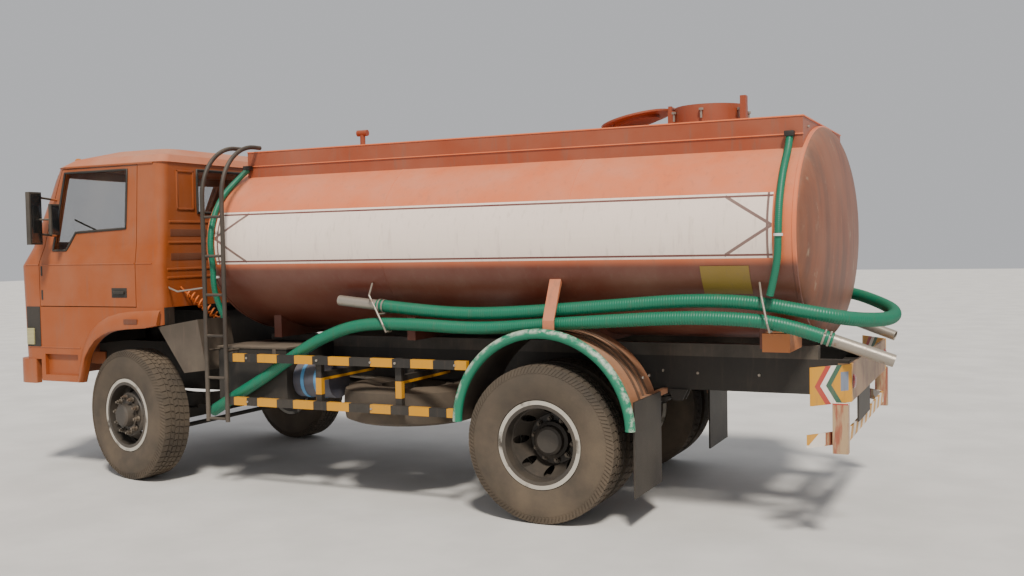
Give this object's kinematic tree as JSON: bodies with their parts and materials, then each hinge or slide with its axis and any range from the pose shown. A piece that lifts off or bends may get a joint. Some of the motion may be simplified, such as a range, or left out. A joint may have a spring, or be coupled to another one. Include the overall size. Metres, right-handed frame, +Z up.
{
  "type": "tanker truck",
  "caption": "Two-axle forward-control tanker truck with an oval tank, catwalk trough, side guards, hoses along its sides, steering, turning wheels, doors and a tank lid.",
  "frame": {"origin": "on the floor below the middle of the truck, halfway between the two bumpers' outer faces", "axes": "+X forward, +Y to the truck's left, +Z up"},
  "size_m": [7.1845, 2.78, 2.8399],
  "materials": {
    "cab_paint": "dusty orange-brown paint",
    "roof_paint": "faded salmon paint",
    "tank_paint": "dusty salmon paint",
    "chassis_black": "matt black, dusty",
    "guard_paint": "yellow blocks on black",
    "grey_plate": "dusty grey",
    "tyre": "dusty",
    "rim_paint": "black disc, dusty",
    "glass": "tinted, dusty",
    "hose_green": "ribbed green hose",
    "steel": "weathered",
    "black_rubber": "matt",
    "seat_cloth": "dark cloth",
    "dash_plastic": "grained"
  },
  "bodies": {
    "chassis": {"air_tank": "chassis_black", "cab_floor": "cab_paint", "cab_front": "cab_paint", "cab_lower_sides": "cab_paint", "cab_rear": "cab_paint", "cab_roof": "roof_paint", "coaming": "tank_paint", "dashboard": "dash_plastic", "drain_hoses": "hose_green", "engine": "chassis_black", "exhaust": "chassis_black", "fender_trims": "hose_green", "fenders_rear": "tank_paint", "frame_fittings": "chassis_black", "frame_rails": "chassis_black", "front_axle_beam": "chassis_black", "front_bumper": "cab_paint", "front_mudguards": "grey_plate", "hose_hooks": "steel", "hose_long": "hose_green", "hose_low_left": "hose_green", "hose_low_right": "hose_green", "ladder": "tank_paint", "lamp_panels": "chassis_black", "manhole_collar": "tank_paint", "mudflaps": "black_rubber", "pipe_low_left": "steel", "pipe_low_right": "steel", "pipes_long": "steel", "rear_axle": "chassis_black", "rear_bumper": "guard_paint", "rear_window": "glass", "seats": "seat_cloth", "side_boxes": "chassis_black", "side_guards": "guard_paint", "spare_wheel": "tyre", "springs": "chassis_black", "tank_barrel": "tank_paint", "tank_bearers": "tank_paint", "tank_heads": "tank_paint", "windscreen": "glass"},
    "knuckle_left": {"knuckle_left": "chassis_black"},
    "knuckle_right": {"knuckle_right": "chassis_black"},
    "tie_rod": {"tie_rod": "chassis_black"},
    "wheel_front_left": {"tyre_front_left": "tyre", "rim_front_left": "rim_paint"},
    "wheel_front_right": {"tyre_front_right": "tyre", "rim_front_right": "rim_paint"},
    "wheels_rear_left": {"tyres_rear_left": "tyre", "rims_rear_left": "rim_paint"},
    "wheels_rear_right": {"tyres_rear_right": "tyre", "rims_rear_right": "rim_paint"},
    "door_left": {"door_left": "cab_paint", "door_glass_left": "glass"},
    "door_right": {"door_right": "cab_paint", "door_glass_right": "glass"},
    "manhole_lid": {"manhole_lid": "tank_paint"}
  },
  "joints": [
    {"name": "steer_left", "type": "hinge", "parent": "chassis", "child": "knuckle_left", "pos_m": [2.105, 0.85, 0.527], "axis": [0, 0, 1], "range_deg": [-19.6, 44.4]},
    {"name": "steer_right", "type": "hinge", "parent": "chassis", "child": "knuckle_right", "pos_m": [2.105, -0.85, 0.527], "axis": [0, 0, 1], "range_deg": [-19.6, 44.4]},
    {"name": "tie_rod_swing", "type": "hinge", "parent": "knuckle_left", "child": "tie_rod", "pos_m": [1.91943, 0.8908, 0.393], "axis": [0, 0, 1], "range_deg": [-44.4, 19.6]},
    {"name": "front_wheel_left", "type": "hinge", "parent": "knuckle_left", "child": "wheel_front_left", "pos_m": [2.14151, 1.01603, 0.527], "axis": [0.2147, 0.9767, 0], "continuous": true},
    {"name": "front_wheel_right", "type": "hinge", "parent": "knuckle_right", "child": "wheel_front_right", "pos_m": [2.06849, -1.01603, 0.527], "axis": [0.2147, 0.9767, 0], "continuous": true},
    {"name": "rear_wheels_left", "type": "hinge", "parent": "chassis", "child": "wheels_rear_left", "pos_m": [-1.52, 0.925, 0.527], "axis": [0, 1, 0], "continuous": true},
    {"name": "rear_wheels_right", "type": "hinge", "parent": "chassis", "child": "wheels_rear_right", "pos_m": [-1.52, -0.925, 0.527], "axis": [0, 1, 0], "continuous": true},
    {"name": "door_left_swing", "type": "hinge", "parent": "chassis", "child": "door_left", "pos_m": [3.08, 1.155, 1.9], "axis": [0, 0, -1], "range_deg": [0, 68]},
    {"name": "door_right_swing", "type": "hinge", "parent": "chassis", "child": "door_right", "pos_m": [3.08, -1.155, 1.9], "axis": [0, 0, 1], "range_deg": [0, 68]},
    {"name": "lid_swing", "type": "hinge", "parent": "chassis", "child": "manhole_lid", "pos_m": [-2.095, 0, 2.808], "axis": [0, -1, 0], "range_deg": [0, 192]}
  ],
  "couplings": [
    {"joint": "steer_right", "follows": "steer_left", "ratio": 1},
    {"joint": "tie_rod_swing", "follows": "steer_left", "ratio": -1}
  ]
}
